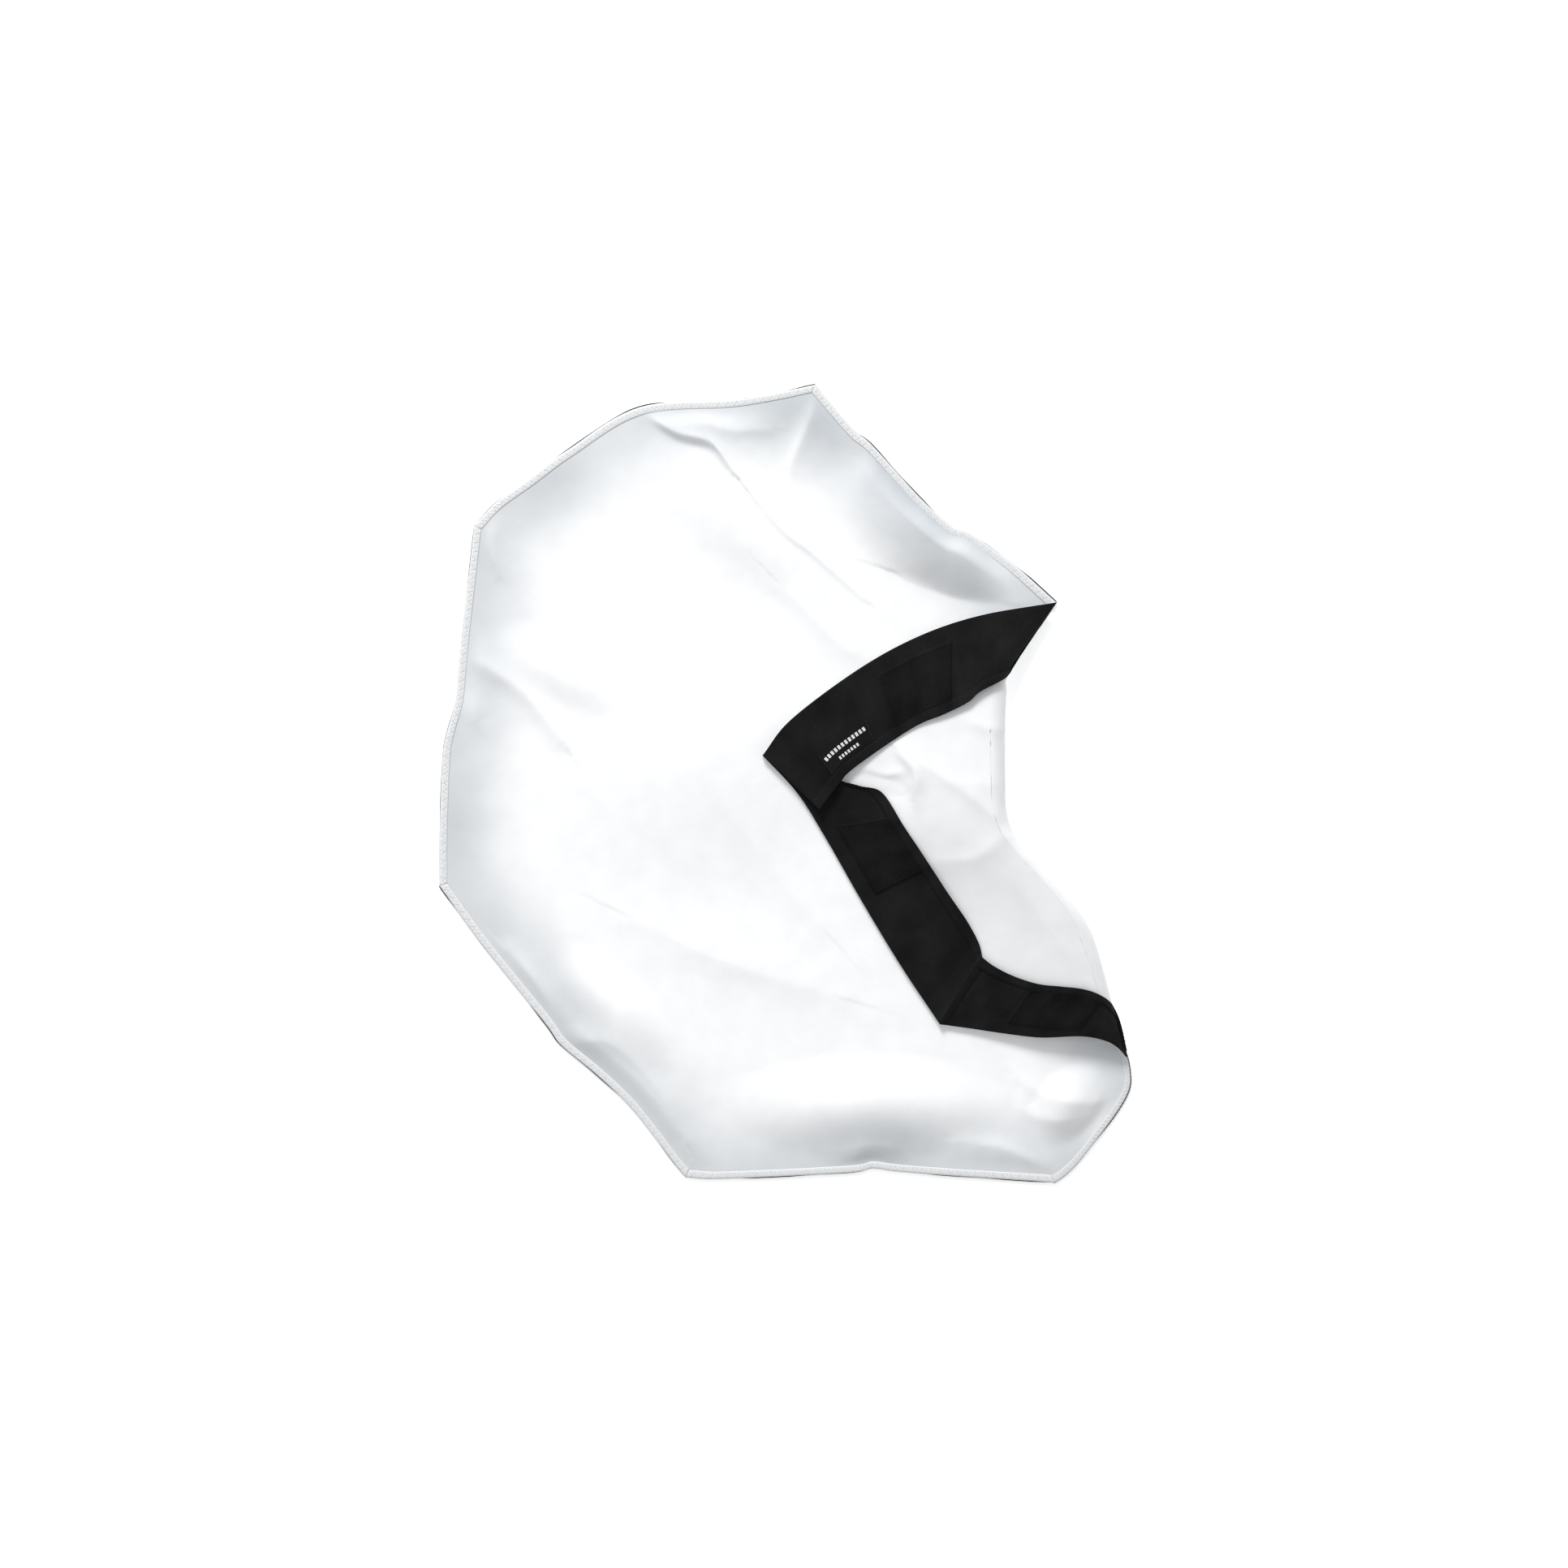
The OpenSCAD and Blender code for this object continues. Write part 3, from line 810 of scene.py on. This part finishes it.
seamShape = {
    "above": 0.45, "pitch": 2.4, "gap": 0.3, "secondIn": 4.2, "secondGap": 1.0, "ends": 0.015,
    "secondEnds": 0.03, "wide": 0.9, "thick": 0.25, "tail": [(0.02, 2), (0.03, 46)],
}
for side in turnedSides:
    node = nodeNames[side]
    hem = gridPiece("turned_hem_" + node + "_sewn", turnedHemShape["columns"],
                    turnedHemShape["rows"], turnedHemLay(side), turnedHemShape["thick"])
    faceUp(hem)
    dress(hem, hemMaterial)
    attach(hem, turned)
    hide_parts("turned_hem_" + node)
    border = gridPiece("turned_border_" + node + "_sewn", turnedBorderShape["columns"],
                       turnedBorderShape["rows"], turnedBorderLay(side),
                       turnedBorderShape["thick"])
    faceUp(border)
    dress(border, borderMaterial)
    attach(border, turned)
    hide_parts("turned_border_" + node)

    def over(p, s, t, side=side):
        return turnedBorderHeight(side, p, s, t) + seamShape["above"]

    # the border's inner edge is folded in and sewn down, and the sides meet in a mitred seam
    inner = layers["borderWide"] - turnedBorderShape["foldIn"]
    second = inner + seamShape["secondIn"]
    first, last = seamShape["ends"], seamShape["secondEnds"]
    pitch, gap = seamShape["pitch"], seamShape["gap"]
    lines = runStitch(side, [(first, inner), (1 - first, inner)], over, pitch, gap)
    lines += runStitch(side, [(last, second), (1 - last, second)], over, pitch,
                       seamShape["secondGap"])
    if side == "turnedTail":
        lines += runStitch(side, seamShape["tail"], over, pitch, gap)
    stitches("seam_" + node, lines, seamShape["wide"], seamShape["thick"], blackThread,
             turned)
print("borders and hems sewn")

patchShape = {
    "long": 48.0, "wide": 34.0, "high": 0.7, "thick": 0.3, "columns": 26, "rows": 36,
    "above": 0.3, "rim": 1.2, "middle": {"turnedTop": 0.44, "turnedSide": 0.42, "turnedTail": 0.5},
}
patchSeam = {"in": 1.8, "above": 0.55, "pitch": 2.6, "gap": 0.5, "wide": 0.5, "thick": 0.25}


halfSteps = 25


def halfShare(side, long, w):  # half the share of a side that a length takes, w in from its edge
    line = joined(placeOn(side, np.linspace(0, 1, halfSteps), w))
    return long / 2 / line["run"][-1]


def patchLay(side, t0, t1, w0, w1, high):  # a flat piece sewn on, a little lower at its rim
    def lay(s, t):
        u = t0 + (t1 - t0) * t
        w = w0 + (w1 - w0) * s
        p = placeOn(side, u, w)
        rim = np.minimum(np.minimum(s, 1 - s) * (w1 - w0),
                         np.minimum(t, 1 - t) * (t1 - t0) * sideLines[side][0]["run"][-1])
        z = (turnedBorderHeight(side, p, w / layers["borderWide"], u)
             + high * smooth(rim / patchShape["rim"]))
        return np.column_stack([p, z + patchShape["above"]]), np.column_stack([u * uvLong, w])
    return lay


for side in turnedSides:
    node = nodeNames[side]
    mid = patchShape["middle"][side]
    w0 = (layers["hemWide"] + layers["borderWide"] - patchShape["wide"]) / 2
    w1 = w0 + patchShape["wide"]
    half = halfShare(side, patchShape["long"], (w0 + w1) / 2)
    length = patchShape["long"] / 2 / half
    tape = gridPiece("turned_hook_patch_" + node + "_sewn", patchShape["columns"],
                     patchShape["rows"],
                     patchLay(side, mid - half, mid + half, w0, w1, patchShape["high"]),
                     patchShape["thick"])
    faceUp(tape)
    dress(tape, tapeMaterial)
    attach(tape, turned)
    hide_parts("turned_hook_patch_" + node)

    def over(p, s, t, side=side):
        return turnedBorderHeight(side, p, s, t) + patchShape["high"] + patchSeam["above"]

    a, b = mid - half + patchSeam["in"] / length, mid + half - patchSeam["in"] / length
    c, d = w0 + patchSeam["in"], w1 - patchSeam["in"]
    lines = runStitch(side, [(a, c), (b, c), (b, d), (a, d), (a, c)], over,
                      patchSeam["pitch"], patchSeam["gap"])
    stitches("patch_seam_" + node, lines, patchSeam["wide"], patchSeam["thick"], blackThread,
             turned)
for node in ("bottom", "lower_left", "left", "upper_left", "upper_right"):
    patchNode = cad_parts["hook_patch_" + node]
    patchNode.data.materials.clear()
    patchNode.data.materials.append(flatTapeMaterial)
print("hook patches sewn")

# the label: middle as a share of the top side, low and high inwards from its edge
label = {
    "middle": 0.76, "long": 39.0, "low": 28.0, "high": 42.0, "columns": 14, "rows": 30,
    "lift": 0.4, "thick": 0.25, "threadAbove": 0.95, "threadThick": 0.2,
    "ends": (-0.95, 0.95), "endIn": 0.8, "endPitch": 2.0, "endGap": 0.4, "endWide": 0.45,
}
# its rows of plain woven bars: place inwards, first bar, how many, step, share filled, height
barRows = {
    "label_bars": (32.3, 0.86, 12, 0.145, 0.62, 2.8),
    "label_bars_small": (37.8, 0.42, 7, 0.125, 0.6, 2.2),
}
oneStitch, barGap = 99, 0.8  # a pitch longer than any bar, so that each is a single thread
half = halfShare("turnedTop", label["long"], (label["low"] + label["high"]) / 2)
tag = gridPiece("label", label["columns"], label["rows"],
                patchLay("turnedTop", label["middle"] - half, label["middle"] + half,
                         label["low"], label["high"], label["lift"]), label["thick"])
faceUp(tag)
dress(tag, labelMaterial)
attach(tag, turned)
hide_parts("woven_label")


def labelOver(p, s, t):
    return turnedBorderHeight("turnedTop", p, s, t) + label["threadAbove"]


labelEnds = []
for end in label["ends"]:
    t = label["middle"] + half * end
    labelEnds += runStitch("turnedTop", [(t, label["low"] + label["endIn"]),
                                         (t, label["high"] - label["endIn"])],
                           labelOver, label["endPitch"], label["endGap"])
stitches("label_seams", labelEnds, label["endWide"], label["threadThick"], greyThread,
         turned)
for name, (row, first, count, step, filled, barWide) in barRows.items():
    bars = []
    for i in range(count):
        a = label["middle"] + half * (first - step * i)
        bars += runStitch("turnedTop", [(a, row), (a - half * step * filled, row)], labelOver,
                          oneStitch, barGap)
    stitches(name, bars, barWide, label["threadThick"], barThread, turned)
print("label sewn")

studio = {
    "floor": 6.0, "floorColour": (0.96, 0.96, 0.96, 1), "floorRoughness": 0.9, "floorGlow": 0.35,
    "key": {"at": (-0.9, 3.5, 2.3), "size": 1.5, "power": 172},
    "fill": {"at": (-1.8, -0.8, 1.8), "size": 1.6, "power": 5},
    "sky": (0.98, 0.99, 1, 1), "skyStrength": 0.65,
    "camera": (-0.0005, 0, 2.6), "sensor": 36, "seen": 1.0452,  # seen: metres across the view
}


def makeFloor():
    bm = bmesh.new()
    bmesh.ops.create_grid(bm, x_segments=4, y_segments=4, size=studio["floor"] / 2)
    mesh = bpy.data.meshes.new("floor")
    bm.to_mesh(mesh)
    bm.free()
    floor = bpy.data.objects.new("floor", mesh)
    bpy.context.scene.collection.objects.link(floor)
    mat, nodes, links, shader = newMaterial("pale floor")
    shader.inputs["Base Color"].default_value = studio["floorColour"]
    shader.inputs["Roughness"].default_value = studio["floorRoughness"]
    shader.inputs["Emission Color"].default_value = (1, 1, 1, 1)
    shader.inputs["Emission Strength"].default_value = studio["floorGlow"]
    floor.data.materials.append(mat)


def areaLight(name):  # a round light that looks at the middle of the floor
    light = studio[name]
    data = bpy.data.lights.new(name, "AREA")
    data.shape = "DISK"
    data.size = light["size"]
    data.energy = light["power"]
    lamp = bpy.data.objects.new(name, data)
    lamp.location = light["at"]
    lamp.rotation_euler = (-Vector(light["at"])).to_track_quat("-Z", "Y").to_euler()
    bpy.context.scene.collection.objects.link(lamp)


def makeStudio():
    areaLight("key")
    areaLight("fill")
    world = bpy.data.worlds.new("studio")
    world.use_nodes = True
    background = world.node_tree.nodes["Background"]
    background.inputs["Color"].default_value = studio["sky"]
    background.inputs["Strength"].default_value = studio["skyStrength"]
    bpy.context.scene.world = world
    bpy.context.scene.view_settings.view_transform = "Standard"


def makeCamera():
    data = bpy.data.cameras.new("camera")
    data.sensor_width = studio["sensor"]
    data.lens = studio["sensor"] * studio["camera"][2] / studio["seen"]
    camera = bpy.data.objects.new("camera", data)
    camera.location = studio["camera"]
    bpy.context.scene.collection.objects.link(camera)
    bpy.context.scene.camera = camera


makeFloor()
makeStudio()
makeCamera()
print("studio set")
